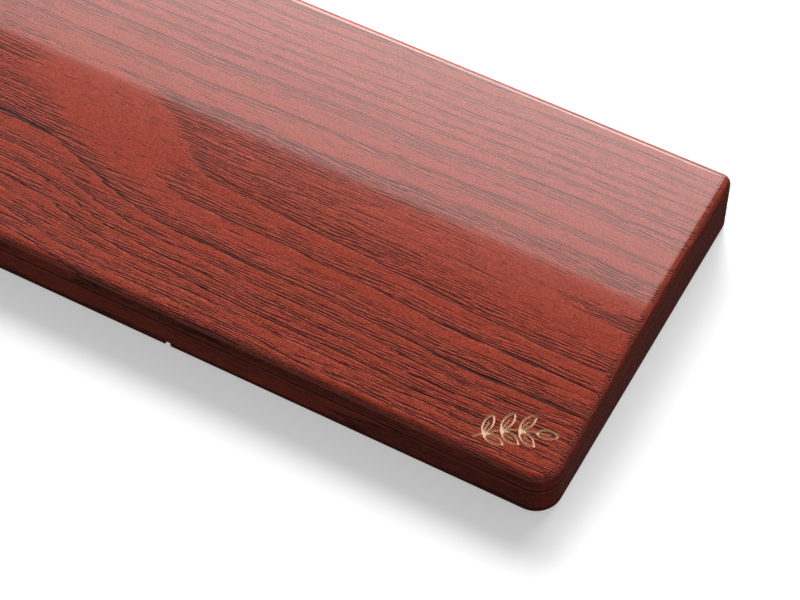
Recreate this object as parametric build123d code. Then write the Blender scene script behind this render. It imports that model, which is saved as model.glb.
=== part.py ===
from build123d import *
import os

# A wooden wrist rest for a keyboard: two boards glued into one block, flat at the rear and
# sloping gently down to the front, on three rubber soles held by double-sided film.
# Millimetres. The origin is on the surface that it stands on, under the middle of the block.
# +X is to the user's right, +Y is away from the user, towards the keyboard, and +Z is up.

# The block
length = 310.0
depth = 100.0
rear_height = 18.7
front_height = 13.8
slope_run = 47.0  # from the front face back to the line where the slope would meet the flat
crest_radius = 150.0  # blends the slope into the flat
front_corner_radius = 6.7
rear_corner_radius = 2.6
top_round = 2.4  # roundover along every top edge

# The glued joint between the two boards
joint_height = 9.3
ease_depth = 0.12  # the edges that meet at the joint are eased into one shallow groove
ease_height = 0.7

# The rubber soles, and the double-sided film that holds each one
section_names = ["left", "middle", "right"]
sole_thickness = 1.95
sole_gap = 1.5
sole_edge_round = 1.1
film_thickness = 0.15
film_inset = 0.3

# The engraved sprig near the front right corner
mark_from_right = 13.4
mark_from_front = 10.0
mark_line = 0.5
stem_length = 14.4
stem_bow = 1.1
stem_tilt = 31.0  # degrees from the length of the rest
leaf_length = 5.9
leaf_width = 2.7
leaf_spread = 46.0  # degrees between a leaf and the stem
leaf_places = [0.16, 0.45, 0.74]  # shares of the stem at which a pair of leaves grows
engraving_depth = 0.3

board_bottom = sole_thickness + film_thickness
section_pitch = (length + sole_gap) / len(section_names)
section_length = section_pitch - sole_gap


def plan_outline(inset=0.0):
    """Plan view of the block, with round front corners and tighter ones at the rear."""
    outline = Rectangle(length - 2 * inset, depth - 2 * inset)
    front_corners = outline.vertices().sort_by(Axis.Y)[:2]
    outline = fillet(front_corners, front_corner_radius - inset)
    rear_corners = outline.vertices().sort_by(Axis.Y)[-2:]
    return fillet(rear_corners, rear_corner_radius - inset)


def plan_block(bottom, top, inset=0.0):
    """A block with the plan outline, from one height to another."""
    return extrude(Pos(0, 0, bottom) * plan_outline(inset), top - bottom)


def eased_at(board, joint_face):
    """The board with the long, shallow chamfer that its edge has at the glued joint."""
    return chamfer(joint_face.edges(), ease_depth, ease_height, reference=joint_face)


def side_profile():
    """Everything under the top surface, drawn from the side and drawn out along the length."""
    front = -depth / 2
    rear = depth / 2
    crest = front + slope_run
    section = make_face(
        Polyline(
            (front, joint_height),
            (front, front_height),
            (crest, rear_height),
            (rear, rear_height),
            (rear, joint_height),
            close=True,
        )
    )
    crest_corner = section.vertices().sort_by_distance((crest, rear_height, 0))[0]
    section = fillet(crest_corner, crest_radius)
    left_end = Plane(origin=(-length / 2, 0, 0), x_dir=(0, 1, 0), z_dir=(1, 0, 0))
    return extrude(left_end * section, length)


def leaf():
    """A leaf drawn in line: its pointed outline, and a rib that stops short of the tip."""
    upper_edge = SagittaArc((0, 0), (leaf_length, 0), leaf_width / 2)
    lower_edge = SagittaArc((leaf_length, 0), (0, 0), leaf_width / 2)
    blade = make_face([upper_edge, lower_edge])
    inside = offset(blade, -mark_line)
    rib_length = 0.65 * leaf_length
    rib = Pos(rib_length / 2, 0) * Rectangle(rib_length, 0.8 * mark_line)
    return blade - inside + rib


def grown(stem, share, turn):
    """A leaf growing from the stem, turned from the way that the stem points there."""
    root = stem.position_at(share)
    heading = stem.tangent_angle_at(share) + turn
    return Pos(root.X, root.Y) * Rot(0, 0, heading) * leaf()


def sprig():
    """The mark, about its middle: a bowed stem with pairs of leaves and a leaf at its tip."""
    stem = SagittaArc((0, 0), (stem_length, 0), stem_bow)
    drawing = trace(stem, mark_line)
    for place in leaf_places:
        drawing += grown(stem, place, leaf_spread)
        drawing += grown(stem, place, -leaf_spread)
    drawing += grown(stem, 1, 0)
    drawing = Rot(0, 0, stem_tilt) * drawing
    middle = drawing.bounding_box().center()
    return Pos(-middle.X, -middle.Y) * drawing


def upper_board():
    """The top board: sloped and flat on top, rounded over, and engraved with the sprig."""
    board = plan_block(joint_height, rear_height) & side_profile()
    top_faces = board.faces().filter_by(lambda face: face.normal_at().Z > 0.9)
    side_faces = board.faces().filter_by(lambda face: abs(face.normal_at().Z) < 0.1)
    board = fillet(top_faces.edges() & side_faces.edges(), top_round)
    board = eased_at(board, board.faces().sort_by(Axis.Z)[0])
    mark_height = front_height + mark_from_front * (rear_height - front_height) / slope_run
    slope = Plane(
        origin=(length / 2 - mark_from_right, mark_from_front - depth / 2, mark_height),
        x_dir=(1, 0, 0),
        z_dir=(0, front_height - rear_height, slope_run),
    )
    engraving = extrude(slope * sprig(), engraving_depth, both=True)
    return board - engraving


def lower_board():
    """The flat board under the joint."""
    board = plan_block(board_bottom, joint_height)
    return eased_at(board, board.faces().sort_by(Axis.Z)[-1])


def section_cut(index, inset=0.0):
    """The stretch of the length that one sole, or its film, covers."""
    middle = (index - (len(section_names) - 1) / 2) * section_pitch
    return Pos(middle, 0, board_bottom / 2) * Box(section_length - 2 * inset, depth, board_bottom)


def sole(index):
    """A rubber sole, flush with the block, whose bottom edges are rounded all round."""
    pad = plan_block(0, sole_thickness) & section_cut(index)
    return fillet(pad.faces().sort_by(Axis.Z)[0].edges(), sole_edge_round)


def film(index):
    """The double-sided film between a sole and the lower board."""
    return plan_block(sole_thickness, board_bottom, film_inset) & section_cut(index, film_inset)


os.makedirs("parts", exist_ok=True)
export_step(upper_board(), "parts/upper_board.step")
export_step(lower_board(), "parts/lower_board.step")
for index, name in enumerate(section_names):
    export_step(sole(index), f"parts/{name}_sole.step")
    export_step(film(index), f"parts/{name}_film.step")
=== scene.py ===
import math
import bmesh
import bpy
from mathutils import Matrix, Vector


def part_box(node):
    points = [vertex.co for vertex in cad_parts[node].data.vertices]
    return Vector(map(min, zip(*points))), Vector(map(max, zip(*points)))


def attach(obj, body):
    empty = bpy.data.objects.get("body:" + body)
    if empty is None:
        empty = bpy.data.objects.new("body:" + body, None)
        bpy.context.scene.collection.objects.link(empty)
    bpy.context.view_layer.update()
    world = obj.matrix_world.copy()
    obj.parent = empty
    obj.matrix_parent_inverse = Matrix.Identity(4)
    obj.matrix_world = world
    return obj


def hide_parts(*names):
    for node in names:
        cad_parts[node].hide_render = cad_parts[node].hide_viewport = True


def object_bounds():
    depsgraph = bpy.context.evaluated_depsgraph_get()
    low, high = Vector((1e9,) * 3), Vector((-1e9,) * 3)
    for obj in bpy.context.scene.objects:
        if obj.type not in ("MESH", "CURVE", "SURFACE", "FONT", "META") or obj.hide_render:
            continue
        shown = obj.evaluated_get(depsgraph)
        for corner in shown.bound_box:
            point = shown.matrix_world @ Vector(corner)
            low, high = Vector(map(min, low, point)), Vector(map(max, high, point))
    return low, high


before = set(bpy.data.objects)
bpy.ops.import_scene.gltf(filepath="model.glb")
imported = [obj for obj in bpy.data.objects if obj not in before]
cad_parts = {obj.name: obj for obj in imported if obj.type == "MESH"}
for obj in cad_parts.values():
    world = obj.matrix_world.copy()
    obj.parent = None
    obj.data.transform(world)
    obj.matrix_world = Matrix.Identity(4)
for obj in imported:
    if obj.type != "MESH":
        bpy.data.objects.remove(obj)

cad_low, cad_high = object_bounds()

# The camera looks down on the right-hand part of the rest from its front right corner, through
# a long lens, so that the left end runs out of the picture.
lens_length = 120.9  # in millimetres, like the width of the sensor
sensor_width = 36.0
camera_from_corner = Vector((0.1238, -0.2991, 0.5355))
degrees_down = 54.27
degrees_to_left = 28.57
camera_data = bpy.data.cameras.new("camera")
camera_data.lens = lens_length
camera_data.sensor_width = sensor_width
camera_data.clip_start = 0.01
camera = bpy.data.objects.new("camera", camera_data)
bpy.context.scene.collection.objects.link(camera)
front_right_corner = Vector((cad_high.x, cad_low.y, cad_low.z))
camera.location = front_right_corner + camera_from_corner
camera.rotation_euler = (math.radians(90 - degrees_down), 0, math.radians(degrees_to_left))
bpy.context.scene.camera = camera
bpy.context.scene.view_settings.view_transform = "Standard"


# The studio: a pale seamless floor, and soft boxes one below the other behind the rest in a dim room
# with a dark ceiling. The floor takes the shadow but throws no light back on to the rest.
floor_reach = 6.0
floor_grey = 0.62
floor_glow = 0.40


def new_material(name):
    """A new material, with its node tree and its shader."""
    material = bpy.data.materials.new(name)
    material.use_nodes = True
    return material, material.node_tree, material.node_tree.nodes["Principled BSDF"]


floor_mesh = bpy.data.meshes.new("floor")
floor_bm = bmesh.new()
bmesh.ops.create_grid(floor_bm, x_segments=1, y_segments=1, size=floor_reach)
floor_bm.to_mesh(floor_mesh)
floor_bm.free()
floor = bpy.data.objects.new("floor", floor_mesh)
floor.location.z = cad_low.z
bpy.context.scene.collection.objects.link(floor)
floor_material, tree, shader = new_material("pale_floor")
shader.inputs["Base Color"].default_value = (floor_grey, floor_grey, floor_grey, 1)
shader.inputs["Emission Color"].default_value = (1, 1, 1, 1)
shader.inputs["Emission Strength"].default_value = floor_glow
shader.inputs["Roughness"].default_value = 0.9
shader.inputs["Specular IOR Level"].default_value = 0.0
floor_mesh.materials.append(floor_material)
floor.visible_glossy = False
floor.visible_diffuse = False


def soft_box(name, to_left, lower, upper, distance, width, brightness):
    """A soft box straight behind the rest and level with it, its middle moved to the left, which
    reaches from one elevation in degrees to another."""
    elevation = math.radians((lower + upper) / 2)
    height = 2 * distance * math.tan(math.radians((upper - lower) / 2))
    away = Vector((0, math.cos(elevation), math.sin(elevation)))
    data = bpy.data.lights.new(name, "AREA")
    data.shape = "RECTANGLE"
    data.size = width
    data.size_y = height
    data.energy = brightness * math.pi * width * height
    light = bpy.data.objects.new(name, data)
    light.location = away * distance - Vector((to_left, 0, 0))
    light.rotation_euler = away.to_track_quat("Z", "Y").to_euler()
    light.visible_camera = False
    bpy.context.scene.collection.objects.link(light)


soft_box("rear_soft_box", to_left=0.7, lower=33, upper=56.2, distance=2.2, width=2.7, brightness=5.8)
soft_box("rear_glow", to_left=0.7, lower=33, upper=53.2, distance=2.15, width=2.7, brightness=1.8)
soft_box("rear_strip", to_left=0.66, lower=28, upper=49.5, distance=2.1, width=0.85, brightness=15.5)
soft_box("rear_rim", to_left=0.7, lower=8, upper=24, distance=2.1, width=2.4, brightness=6.5)

world = bpy.data.worlds.new("studio_room")
bpy.context.scene.world = world
world.use_nodes = True
room = world.node_tree
toward = room.nodes.new("ShaderNodeSeparateXYZ")
room.links.new(room.nodes.new("ShaderNodeTexCoord").outputs["Generated"], toward.inputs[0])


def room_part(axis, start, end, at_start, at_end):
    """A light level that changes as the view turns along one axis."""
    part = room.nodes.new("ShaderNodeMapRange")
    room.links.new(toward.outputs[axis], part.inputs["Value"])
    levels = {"From Min": start, "From Max": end, "To Min": at_start, "To Max": at_end}
    for socket, level in levels.items():
        part.inputs[socket].default_value = level
    return part.outputs[0]


def room_sum(operation, first, second):
    """Two light levels added or multiplied."""
    node = room.nodes.new("ShaderNodeMath")
    node.operation = operation
    room.links.new(first, node.inputs[0])
    room.links.new(second, node.inputs[1])
    return node.outputs[0]


# The walls fade out at the floor and end in a dark ceiling. The front walls are brighter low down
# and darker high up, and the floor far behind the rest, to the left, shines a little.
walls = room_part("Z", -0.05, 0.15, 0.03, 0.48)
walls = room_sum("MULTIPLY", walls, room_part("Z", 0.86, 0.90, 1.0, 0.12))
front_walls = room_sum("MULTIPLY", walls, room_part("Y", -0.1, -0.4, 0.0, 1.0))
front_walls = room_sum("MULTIPLY", front_walls, room_part("Z", 0.1, 0.6, 0.5, -0.65))
walls = room_sum("ADD", walls, front_walls)
far_floor = room_part("Z", 0.0, -0.1, 0.0, 0.15)
far_floor = room_sum("MULTIPLY", far_floor, room_part("Y", 0.15, 0.35, 0.0, 1.0))
far_floor = room_sum("MULTIPLY", far_floor, room_part("X", 0.05, -0.15, 0.0, 1.0))
level = room_sum("ADD", walls, far_floor)
room.links.new(level, room.nodes["Background"].inputs["Strength"])
room.nodes["Background"].inputs["Color"].default_value = (1, 1, 1, 1)


# The upper board: open-pored timber cut flat across its growth rings, with its top sloped at the
# front and flat at the rear. Its edges are rounded over on a router, it is brushed, stained red
# and lacquered, and its lower edge is eased where it is glued to the board below.
mm = 0.001
board_low, board_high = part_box("upper_board")
front_height = 13.8 * mm
slope_run = 47 * mm
crest_radius = 150 * mm
crest_steps = 16
front_corner = 6.7 * mm
front_corner_steps = 14
rear_corner = 2.6 * mm
rear_corner_steps = 10
top_round = 2.4 * mm
top_round_steps = 10
ease_depth = 0.12 * mm
ease_height = 0.7 * mm
slope_angle = math.atan2(board_high.z - front_height, slope_run)
crisp_angle = math.radians(35)


def meets(place, target):
    """Whether two places along an axis are the same, but for rounding."""
    return abs(place - target) < 1e-6


def block(low, high):
    """A plain block between two corners, as a bmesh."""
    bm = bmesh.new()
    bmesh.ops.create_cube(bm, size=1.0)
    bmesh.ops.scale(bm, vec=high - low, verts=bm.verts)
    bmesh.ops.translate(bm, vec=(low + high) / 2, verts=bm.verts)
    return bm


def rounded(bm, edges, size, segments):
    """Rounds edges over to a radius."""
    bmesh.ops.bevel(
        bm,
        geom=edges,
        offset=size,
        offset_type="OFFSET",
        segments=segments,
        profile=0.5,
        affect="EDGES",
        material=-1,
        clamp_overlap=False,
    )


def corner_edges(bm, side, ends):
    """The upright corner edges of a block, on the side at one y and at the ends at some x."""
    return [
        edge
        for edge in bm.edges
        if edge.verts[0].co.z != edge.verts[1].co.z
        and all(meets(vert.co.y, side) for vert in edge.verts)
        and any(all(meets(vert.co.x, end) for vert in edge.verts) for end in ends)
    ]


def corners_rounded(bm, low, high, ends):
    """Rounds the upright corners at the ends at some x: wide at the front and tight at the rear."""
    rounded(bm, corner_edges(bm, low.y, ends), front_corner, front_corner_steps)
    rounded(bm, corner_edges(bm, high.y, ends), rear_corner, rear_corner_steps)


def rim_edges(bm, direction):
    """The edges where the top faces (direction 1) or the bottom face (-1) meet the sides."""
    bm.normal_update()
    return [
        edge
        for edge in bm.edges
        if max(direction * face.normal.z for face in edge.link_faces) > 0.9
        and min(abs(face.normal.z) for face in edge.link_faces) < 0.1
    ]


def eased(bm, direction):
    """Eases the rim of the top (direction 1) or the bottom (-1) face: in a little, back a lot."""
    bm.normal_update()
    flat = [face for face in bm.faces if direction * face.normal.z > 0.99]
    height = flat[0].verts[0].co.z
    bmesh.ops.inset_region(bm, faces=flat, thickness=ease_depth, use_even_offset=True)
    inner = {vert for face in flat for vert in face.verts}
    rim = [vert for vert in bm.verts if meets(vert.co.z, height) and vert not in inner]
    bmesh.ops.translate(bm, vec=(0, 0, -direction * ease_height), verts=rim)


def piece_from(bm, name):
    """The object made from a bmesh."""
    mesh = bpy.data.meshes.new(name)
    bm.to_mesh(mesh)
    bm.free()
    piece = bpy.data.objects.new(name, mesh)
    bpy.context.scene.collection.objects.link(piece)
    return piece


def smooth_shaded(piece, crisp_heights):
    """Shades a piece smoothly, but for its corners and the level edges at the given heights."""
    bm = bmesh.new()
    bm.from_mesh(piece.data)
    for face in bm.faces:
        face.smooth = True
    for edge in bm.edges:
        level = any(all(meets(vert.co.z, z) for vert in edge.verts) for z in crisp_heights)
        edge.smooth = not level and edge.calc_face_angle(0) < crisp_angle
    bm.to_mesh(piece.data)
    bm.free()
    shading = piece.modifiers.new("flat_faces_stay_flat", "WEIGHTED_NORMAL")
    shading.weight = 100
    shading.keep_sharp = True


bm = block(board_low, board_high)
crest = board_low.y + slope_run
bmesh.ops.bisect_plane(
    bm, geom=bm.verts[:] + bm.edges[:] + bm.faces[:], plane_co=(0, crest, 0), plane_no=(0, 1, 0)
)
for vert in bm.verts:
    if meets(vert.co.y, board_low.y) and meets(vert.co.z, board_high.z):
        vert.co.z = front_height
crest_edges = [
    edge
    for edge in bm.edges
    if all(meets(vert.co.y, crest) and meets(vert.co.z, board_high.z) for vert in edge.verts)
]
rounded(bm, crest_edges, crest_radius * math.tan(slope_angle / 2), crest_steps)
corners_rounded(bm, board_low, board_high, (board_low.x, board_high.x))
rounded(bm, rim_edges(bm, 1), top_round, top_round_steps)
eased(bm, -1)
upper = piece_from(bm, "upper_board_wood")


def add_node(tree, kind, inputs=None, **settings):
    """Adds a shader node, sets its properties, and sets or links its inputs."""
    node = tree.nodes.new(kind)
    for name, value in settings.items():
        setattr(node, name, value)
    for socket, value in (inputs or {}).items():
        if isinstance(value, bpy.types.NodeSocket):
            tree.links.new(value, node.inputs[socket])
        else:
            node.inputs[socket].default_value = value
    return node


def calc(tree, operation, *values):
    """The result of one Math node."""
    return add_node(tree, "ShaderNodeMath", dict(enumerate(values)), operation=operation).outputs[0]


def sum_of_squares(tree, first, second):
    """The sum of the squares of two values."""
    squares = [calc(tree, "MULTIPLY", value, value) for value in (first, second)]
    return calc(tree, "ADD", *squares)


def noise(tree, position, scale, detail=1.0, roughness=0.5):
    """Noise whose grain is finer along some axes than others; scale is in cycles per metre."""
    vector = add_node(
        tree, "ShaderNodeVectorMath", {0: position, 1: scale}, operation="MULTIPLY"
    ).outputs[0]
    inputs = {"Vector": vector, "Scale": 1.0, "Detail": detail, "Roughness": roughness}
    return add_node(tree, "ShaderNodeTexNoise", inputs).outputs[0]


def swing(tree, position, scale, size, detail=1.0):
    """Noise about zero, of some size from its lowest to its highest."""
    centred = calc(tree, "SUBTRACT", noise(tree, position, scale, detail), 0.5)
    return calc(tree, "MULTIPLY", centred, size)


def between(tree, value, low, high, at_low=0.0, at_high=1.0):
    """A smooth step from one value where the input is low to another where it is high."""
    inputs = {"Value": value, "From Min": low, "From Max": high, "To Min": at_low, "To Max": at_high}
    return add_node(
        tree, "ShaderNodeMapRange", inputs, interpolation_type="SMOOTHSTEP"
    ).outputs[0]


def mixed(tree, factor, first, second):
    """A colour between two others."""
    inputs = {0: factor, 6: first, 7: second}
    return add_node(tree, "ShaderNodeMix", inputs, data_type="RGBA").outputs[2]


# Growth rings are circles round the pith, which runs under the board and dives to the left. Each
# starts smooth, gathers pores as it grows, and ends in a dark line.
ring_radii = (6, 13, 19, 23.3, 29.8, 33.5, 36.4, 39.4, 42, 45.6, 49, 52.5, 56, 60)  # in millimetres
figure_reach = 70  # in millimetres too
ring_end = 0.003  # the share of that reach in which one ring gives way to the next
pith_line = -2 * mm
pith_depth_right = 13 * mm
pith_dive = 9.5 * mm
pith_fall = 4.0 * mm
sway_size = 4.5 * mm
ripple_size = 1.2 * mm
fraying = 1.4 * mm

grain = bpy.data.node_groups.new("open_pored_grain", "ShaderNodeTree")
grain.interface.new_socket("Position", in_out="INPUT", socket_type="NodeSocketVector")
for name in ("Density", "Pores", "Ring Line", "Mottle", "Height"):
    grain.interface.new_socket(name, in_out="OUTPUT", socket_type="NodeSocketFloat")
group_in = grain.nodes.new("NodeGroupInput")
group_out = grain.nodes.new("NodeGroupOutput")
position = group_in.outputs["Position"]
along, across, up = add_node(grain, "ShaderNodeSeparateXYZ", {0: position}).outputs

sway = swing(grain, position, (12, 26, 26), sway_size)
ripple = swing(grain, position, (30, 70, 70), ripple_size)
shifted = calc(grain, "ADD", calc(grain, "ADD", across, sway), ripple)
from_pith = calc(grain, "SUBTRACT", shifted, pith_line)
dive = between(grain, along, -3 * mm, 47 * mm, pith_dive, 0.0)
dive = calc(grain, "MULTIPLY", dive, between(grain, across, -8 * mm, 8 * mm, 1.0, 0.0))
fall = between(grain, along, 40 * mm, 160 * mm, pith_fall, 0.0)
depth = calc(grain, "ADD", calc(grain, "ADD", dive, fall), pith_depth_right - cad_high.z)
above_pith = calc(grain, "ADD", up, depth)
radius = calc(grain, "SQRT", sum_of_squares(grain, from_pith, above_pith))
radius = calc(grain, "ADD", radius, swing(grain, position, (60, 1100, 1100), fraying))
years = add_node(
    grain, "ShaderNodeValToRGB", {0: calc(grain, "DIVIDE", radius, figure_reach * mm)}
)
ramp = years.color_ramp
ramp.elements[0].color = (0, 0, 0, 1)
ramp.elements[1].color = (1, 1, 1, 1)
for ring_radius in ring_radii:
    share = ring_radius / figure_reach
    ramp.elements.new(share).color = (1, 1, 1, 1)
    ramp.elements.new(share + ring_end).color = (0, 0, 0, 1)
growth = years.outputs[0]

# A smooth patch near the middle has no pores. It is an oval that leans, with a ragged edge.
patch_x = 10 * mm
patch_y = -3 * mm
patch_length = 24 * mm
patch_width = 11.5 * mm
patch_lean = 0.25
patch_along = calc(grain, "DIVIDE", calc(grain, "SUBTRACT", along, patch_x), patch_length)
patch_across = calc(grain, "SUBTRACT", shifted, patch_y)
patch_across = calc(grain, "ADD", patch_across, calc(grain, "MULTIPLY", along, patch_lean))
patch_across = calc(grain, "DIVIDE", patch_across, patch_width)
patch = sum_of_squares(grain, patch_along, patch_across)
uneven = swing(grain, position, (50, 600, 600), 1.3, detail=2.0)
outside_patch = between(grain, calc(grain, "ADD", patch, uneven), 0.75, 1.35)

# The pores crowd as a ring grows, and more so at the front right and over the left half. The lines
# that end the rings fade here and there, near the pith and round the patch.
busier_front = between(grain, across, -40 * mm, -14 * mm, 1.0, 0.0)
busier_right = between(grain, along, 30 * mm, 110 * mm, 0.06, 0.13)
busier_front = calc(grain, "MULTIPLY", busier_front, busier_right)
busier_left = between(grain, along, -28 * mm, -10 * mm, 0.4, 0.0)
busier_left = calc(grain, "MULTIPLY", busier_left, between(grain, across, -28 * mm, -16 * mm))
density = calc(grain, "ADD", calc(grain, "ADD", growth, uneven), busier_front)
density = between(grain, calc(grain, "ADD", density, busier_left), 0.08, 0.85)
density = calc(grain, "MULTIPLY", density, outside_patch)
line_fade = between(grain, noise(grain, position, (22, 150, 150)), 0.30, 0.44)
line_fade = calc(grain, "MULTIPLY", line_fade, between(grain, radius, 20 * mm, 24 * mm, 0.35, 1.0))
line_fade = calc(grain, "MULTIPLY", line_fade, between(grain, patch, 1.0, 2.2))
ring_line = calc(grain, "MULTIPLY", between(grain, growth, 0.915, 0.955), line_fade)

# The pores are cut lengthways into short dark streaks, which lie in rows that sway with the rings,
# with fine wisps between them. They are fainter in the rear half.
row_pitch = 0.84 * mm
bent = add_node(grain, "ShaderNodeCombineXYZ", {0: along, 1: shifted, 2: up}).outputs[0]
drift = calc(grain, "MULTIPLY", noise(grain, bent, (55, 420, 420)), 3.0)
rows = calc(grain, "ADD", calc(grain, "DIVIDE", calc(grain, "ADD", shifted, up), row_pitch), drift)
rows = calc(grain, "SINE", calc(grain, "MULTIPLY", rows, 2 * math.pi))
rows = calc(grain, "POWER", calc(grain, "MULTIPLY_ADD", rows, 0.5, 0.5), 1.4)
breaks = between(grain, noise(grain, bent, (230, 2500, 2500)), 0.3, 0.7)
row_share = calc(grain, "MULTIPLY_ADD", growth, 0.2, 0.42)
streaks = calc(grain, "MULTIPLY_ADD", row_share, calc(grain, "SUBTRACT", rows, breaks), breaks)
streak_low = calc(grain, "MULTIPLY_ADD", density, -0.27, 0.86)
streak_high = calc(grain, "ADD", streak_low, 0.07)
wide_mask = between(grain, streaks, streak_low, streak_high)
wisps = noise(grain, bent, (400, 4200, 4200))
wisp_edge = calc(grain, "MULTIPLY_ADD", density, 0.14, 0.31)
wisp_mask = between(grain, calc(grain, "SUBTRACT", wisp_edge, wisps), -0.02, 0.07)
calmer_rear = between(grain, across, 4 * mm, 14 * mm, 1.0, 0.56)
pores = calc(grain, "MAXIMUM", wide_mask, calc(grain, "MULTIPLY", wisp_mask, 0.62))
pores = calc(grain, "MULTIPLY", pores, calmer_rear)
darkness = calc(grain, "ADD", calc(grain, "MULTIPLY_ADD", growth, 0.30, 0.47), busier_front)
pores = calc(grain, "MULTIPLY", pores, darkness)
ring_line = calc(grain, "MULTIPLY", ring_line, calmer_rear)

# The brushed surface lies lower along the rows, the pores and the ring lines.
mottle = noise(grain, position, (2000, 3000, 3000), 1.5, 0.7)
ridges = calc(grain, "MULTIPLY", calc(grain, "MULTIPLY", streaks, density), -1.3)
height = calc(grain, "MULTIPLY_ADD", pores, -0.8, ridges)
height = calc(grain, "MULTIPLY_ADD", ring_line, -1.2, height)
height = calc(grain, "MULTIPLY_ADD", mottle, 0.3, height)
for name, value in (
    ("Density", density),
    ("Pores", pores),
    ("Ring Line", ring_line),
    ("Mottle", mottle),
    ("Height", height),
):
    grain.links.new(value, group_out.inputs[name])

latewood_red = (0.262, 0.0335, 0.0155, 1)
earlywood_red = (0.252, 0.0350, 0.0180, 1)
# The dark brown of the pores, also painted into the joint groove as painted shade.
pore_and_joint_shade_brown = (0.038, 0.0050, 0.0020, 1)
# Painted light: a brighter red painted on the rear top edge, where the lamps behind light it.
rear_edge_painted_light_red = (0.50, 0.048, 0.024, 1)
# Painted highlight: a brighter red painted in bands either side of the joint.
joint_painted_highlight_red = (0.40, 0.070, 0.045, 1)
line_strength = 0.95


def stained_wood(name, shift):
    """The stained and lacquered timber of one board, cut from the log at its own place."""
    material, tree, shader = new_material(name)
    place = add_node(tree, "ShaderNodeTexCoord")
    facing = add_node(tree, "ShaderNodeSeparateXYZ", {0: place.outputs["Normal"]}).outputs
    spot = add_node(tree, "ShaderNodeSeparateXYZ", {0: place.outputs["Object"]}).outputs
    # On the two ends the figure is turned, so that the streaks run along the end.
    end_face = calc(tree, "GREATER_THAN", calc(tree, "ABSOLUTE", facing[0]), 0.7)
    end_place = calc(tree, "MULTIPLY", spot[0], cad_high.y / cad_high.x)
    turned = add_node(
        tree, "ShaderNodeCombineXYZ", {0: spot[1], 1: end_place, 2: spot[2]}
    ).outputs[0]
    run = add_node(
        tree,
        "ShaderNodeMix",
        {0: end_face, 4: place.outputs["Object"], 5: turned},
        data_type="VECTOR",
    ).outputs[1]
    moved = add_node(tree, "ShaderNodeMapping", {"Vector": run, "Location": shift}).outputs[0]
    figure = add_node(tree, "ShaderNodeGroup", node_tree=grain)
    tree.links.new(moved, figure.inputs["Position"])
    colour = mixed(tree, figure.outputs["Density"], latewood_red, earlywood_red)
    shade = calc(tree, "MULTIPLY", figure.outputs["Mottle"], 2.0)
    colour = add_node(
        tree, "ShaderNodeVectorMath", {0: colour, 1: shade}, operation="MULTIPLY"
    ).outputs[0]
    dark = calc(tree, "MAXIMUM", figure.outputs["Pores"], figure.outputs["Ring Line"])
    colour = mixed(tree, calc(tree, "MULTIPLY", dark, line_strength), colour, pore_and_joint_shade_brown)
    # Beside the joint a brighter red is painted, a painted highlight on the eased edges; in the
    # joint itself a dark brown is painted, painted shade in the groove.
    from_joint = calc(tree, "ABSOLUTE", calc(tree, "SUBTRACT", spot[2], board_low.z))
    joint_painted_highlight = between(tree, from_joint, 0.35 * mm, 0.5 * mm)
    joint_painted_highlight = calc(tree, "MULTIPLY", joint_painted_highlight, between(tree, from_joint, 0.8 * mm, 1.3 * mm, 1, 0))
    colour = mixed(tree, calc(tree, "MULTIPLY", joint_painted_highlight, 0.4), colour, joint_painted_highlight_red)
    joint_painted_shade = between(tree, from_joint, 0.15 * mm, 0.45 * mm, 0.85, 0.0)
    colour = mixed(tree, joint_painted_shade, colour, pore_and_joint_shade_brown)
    # Where the rounded top edge at the rear faces back and up, a brighter red is painted: painted
    # light from the lamps behind.
    faces_rear = between(tree, facing[1], 0.3, 0.6)
    faces_up = between(tree, facing[2], 0.0, 0.3)
    rear_edge_painted_light = calc(tree, "MULTIPLY", calc(tree, "MULTIPLY", faces_rear, faces_up), 0.7)
    colour = mixed(tree, rear_edge_painted_light, colour, rear_edge_painted_light_red)
    tree.links.new(colour, shader.inputs["Base Color"])
    inputs = {"Height": figure.outputs["Height"], "Distance": 0.2 * mm, "Strength": 1.0}
    bump = add_node(tree, "ShaderNodeBump", inputs)
    tree.links.new(bump.outputs[0], shader.inputs["Normal"])
    shader.inputs["Roughness"].default_value = 0.55
    shader.inputs["Specular IOR Level"].default_value = 0.05
    shader.inputs["Coat Weight"].default_value = 1.0
    shader.inputs["Coat Roughness"].default_value = 0.13
    shader.inputs["Coat IOR"].default_value = 1.335
    return material


upper.data.materials.append(stained_wood("upper_board_wood", (0, 0, 0)))


# The mark: a sprig engraved into the slope near the front right corner with a fine cutter, once
# the finish had dried, down into the bare, pale timber.
mark_line = 0.5 * mm
stem_length = 14.4 * mm
stem_bow = 1.1 * mm
stem_tilt = math.radians(31)
leaf_length = 5.9 * mm
leaf_width = 2.7 * mm
leaf_spread = math.radians(46)
leaf_places = (0.16, 0.45, 0.74)
rib_length = 0.65 * leaf_length
rib_width = 0.8 * mark_line
mark_from_right = 13.4 * mm
mark_from_front = 10.0 * mm
engraving_depth = 0.3 * mm
arc_steps = 12
bare_dark = (0.58, 0.36, 0.22, 1)
bare_pale = (0.80, 0.56, 0.38, 1)
cutter_bm = bmesh.new()


def add_cut(bm, placing):
    """Adds one closed solid to the cutter, at its place."""
    bm.transform(placing)
    if bm.calc_volume(signed=True) < 0:
        bmesh.ops.reverse_faces(bm, faces=bm.faces)
    solid = bpy.data.meshes.new("cut")
    bm.to_mesh(solid)
    bm.free()
    cutter_bm.from_mesh(solid)
    bpy.data.meshes.remove(solid)


def arc_size(chord, bow):
    """The radius of an arc, and half of the angle that it turns through."""
    radius = (chord * chord / 4 + bow * bow) / (2 * bow)
    return radius, math.asin(chord / 2 / radius)


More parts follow.
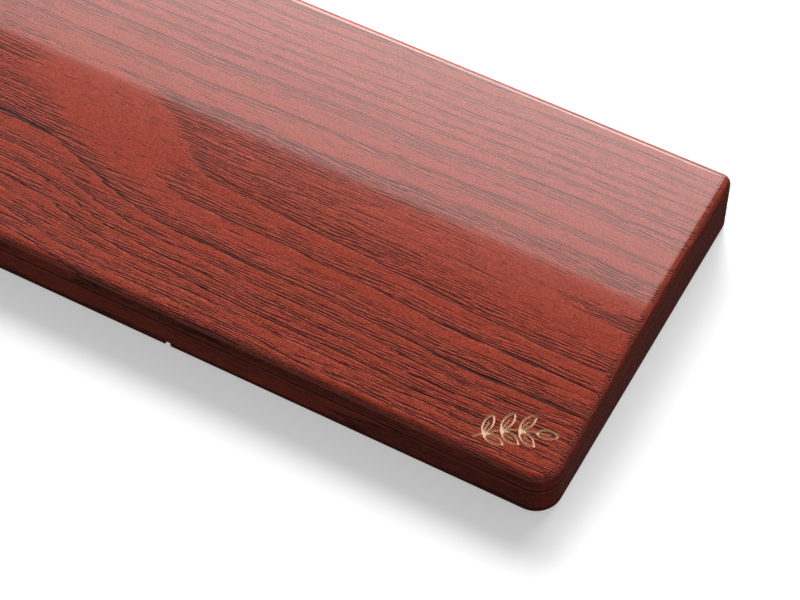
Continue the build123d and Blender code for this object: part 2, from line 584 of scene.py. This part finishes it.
def cut_arc(chord, bow, outward, inward, placing):
    """A cut along an arc from the origin to (chord, 0) that bows to the left of that way."""
    radius, half = arc_size(chord, bow)
    centre = Vector((chord / 2, bow - radius, -engraving_depth))
    start = Matrix.Rotation(half, 4, "Z") @ Vector((0, 1, 0))
    bm = bmesh.new()
    ends = [bm.verts.new(centre + start * size) for size in (radius + outward, radius - inward)]
    edge = bm.edges.new(ends)
    bmesh.ops.spin(
        bm, geom=ends + [edge], cent=centre, axis=(0, 0, 1), angle=-2 * half, steps=arc_steps
    )
    raised = bmesh.ops.extrude_face_region(bm, geom=bm.faces[:])["geom"]
    top = [item for item in raised if isinstance(item, bmesh.types.BMVert)]
    bmesh.ops.translate(bm, vec=(0, 0, 2 * engraving_depth), verts=top)
    add_cut(bm, placing)


def cut_leaf(share, turn):
    """A leaf: two edges that meet in a point, and a rib that stops short of it."""
    radius, half = arc_size(stem_length, stem_bow)
    heading = half * (1 - 2 * share)
    root = Vector((stem_length / 2, stem_bow - radius, 0))
    root += radius * Vector((-math.sin(heading), math.cos(heading), 0))
    placing = Matrix.Translation(root) @ Matrix.Rotation(heading + turn, 4, "Z")
    mirrored = placing @ Matrix.Scale(-1, 4, (0, 1, 0))
    cut_arc(leaf_length, leaf_width / 2, 0, mark_line, placing)
    cut_arc(leaf_length, leaf_width / 2, 0, mark_line, mirrored)
    rib = Vector((rib_length, rib_width / 2, engraving_depth))
    add_cut(block(Vector((0, -rib.y, -rib.z)), rib), placing)


def middle_of(bm, axis):
    """The middle of a bmesh's reach along one axis."""
    places = [vert.co[axis] for vert in bm.verts]
    return (min(places) + max(places)) / 2


cut_arc(stem_length, stem_bow, mark_line / 2, mark_line / 2, Matrix.Identity(4))
for share in leaf_places:
    cut_leaf(share, leaf_spread)
    cut_leaf(share, -leaf_spread)
cut_leaf(1, 0)
cutter_bm.transform(Matrix.Rotation(stem_tilt, 4, "Z"))
middle = Vector((middle_of(cutter_bm, 0), middle_of(cutter_bm, 1), 0))
mark_height = front_height + mark_from_front * math.tan(slope_angle)
mark_place = Vector((board_high.x - mark_from_right, board_low.y + mark_from_front, mark_height))
on_slope = Matrix.Translation(mark_place) @ Matrix.Rotation(slope_angle, 4, "X")
cutter_bm.transform(on_slope @ Matrix.Translation(-middle))
cutter = piece_from(cutter_bm, "engraving_cutter")

bare_wood, tree, shader = new_material("bare_wood")
place = add_node(tree, "ShaderNodeTexCoord").outputs["Object"]
fibres = noise(tree, place, (300, 2400, 2400), 3.0, 0.6)
colour = mixed(tree, fibres, bare_dark, bare_pale)
tree.links.new(colour, shader.inputs["Base Color"])
rough = calc(tree, "MULTIPLY_ADD", fibres, 0.2, 0.6)
tree.links.new(rough, shader.inputs["Roughness"])
shader.inputs["Specular IOR Level"].default_value = 0.3
cutter.data.materials.append(bare_wood)

cut = upper.modifiers.new("engraving", "BOOLEAN")
cut.operation = "DIFFERENCE"
cut.solver = "EXACT"
cut.use_self = True
cut.material_mode = "TRANSFER"
cut.object = cutter
engraved = bpy.data.meshes.new_from_object(
    upper.evaluated_get(bpy.context.evaluated_depsgraph_get())
)
upper.modifiers.clear()
plain_mesh = upper.data
upper.data = engraved
bpy.data.meshes.remove(plain_mesh)
bpy.data.objects.remove(cutter)

joint = board_low.z
smooth_shaded(upper, (joint, joint + ease_height))
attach(upper, "root")
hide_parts("upper_board")


# The lower board: a flat board of the same timber with its own grain, glued under the upper one
# and cut to the same outline. The edge at the joint is eased, so that the two meet in a groove.
lower_board_shift = (-90 * mm, 12 * mm, -4 * mm)
low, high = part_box("lower_board")
bm = block(low, high)
corners_rounded(bm, low, high, (low.x, high.x))
eased(bm, 1)
lower = piece_from(bm, "lower_board_wood")
lower.data.materials.append(stained_wood("lower_board_wood", lower_board_shift))
smooth_shaded(lower, (joint, joint - ease_height))
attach(lower, "root")
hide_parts("lower_board")


# The three soles: moulded rubber pads, flush with the boards and a little apart, with their bottom
# edges rounded and a fine texture from the mould that keeps the rest from sliding.
sections = ("left", "middle", "right")
sole_round = 1.1 * mm
sole_round_steps = 8
rubber_dark = (0.075, 0.013, 0.009, 1)
rubber_pale = (0.130, 0.022, 0.016, 1)
sole_rubber, tree, shader = new_material("sole_rubber")
place = add_node(tree, "ShaderNodeTexCoord").outputs["Object"]
grit = noise(tree, place, (2600, 2600, 2600), 2.0, 0.6)
cloud = noise(tree, place, (60, 60, 60), 3.0, 0.55)
shade = calc(tree, "MULTIPLY_ADD", cloud, 0.5, calc(tree, "MULTIPLY", grit, 0.5))
colour = mixed(tree, shade, rubber_dark, rubber_pale)
tree.links.new(colour, shader.inputs["Base Color"])
rough = calc(tree, "MULTIPLY_ADD", grit, 0.25, 0.62)
tree.links.new(rough, shader.inputs["Roughness"])
bump = add_node(
    tree, "ShaderNodeBump", {"Height": grit, "Distance": 0.06 * mm, "Strength": 0.8}
)
tree.links.new(bump.outputs[0], shader.inputs["Normal"])
shader.inputs["Specular IOR Level"].default_value = 0.12

for name in sections:
    low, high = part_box(f"{name}_sole")
    outer_ends = {"left": (low.x,), "middle": (), "right": (high.x,)}
    bm = block(low, high)
    corners_rounded(bm, low, high, outer_ends[name])
    rounded(bm, rim_edges(bm, -1), sole_round, sole_round_steps)
    sole = piece_from(bm, f"{name}_sole_rubber")
    sole.data.materials.append(sole_rubber)
    smooth_shaded(sole, ())
    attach(sole, "root")
    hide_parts(f"{name}_sole")


# The film under the boards: thin double-sided film, cut a little smaller than each sole, that
# holds it to the wood. It keeps the shape that the CAD gives it.
film_dark = (0.08, 0.07, 0.06, 1)
film_pale = (0.12, 0.11, 0.10, 1)
film, tree, shader = new_material("adhesive_film")
place = add_node(tree, "ShaderNodeTexCoord").outputs["Object"]
cloud = noise(tree, place, (400, 400, 400), 3.0, 0.6)
colour = mixed(tree, cloud, film_dark, film_pale)
tree.links.new(colour, shader.inputs["Base Color"])
rough = calc(tree, "MULTIPLY_ADD", cloud, 0.2, 0.4)
tree.links.new(rough, shader.inputs["Roughness"])
for name in sections:
    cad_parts[f"{name}_film"].material_slots[0].material = film
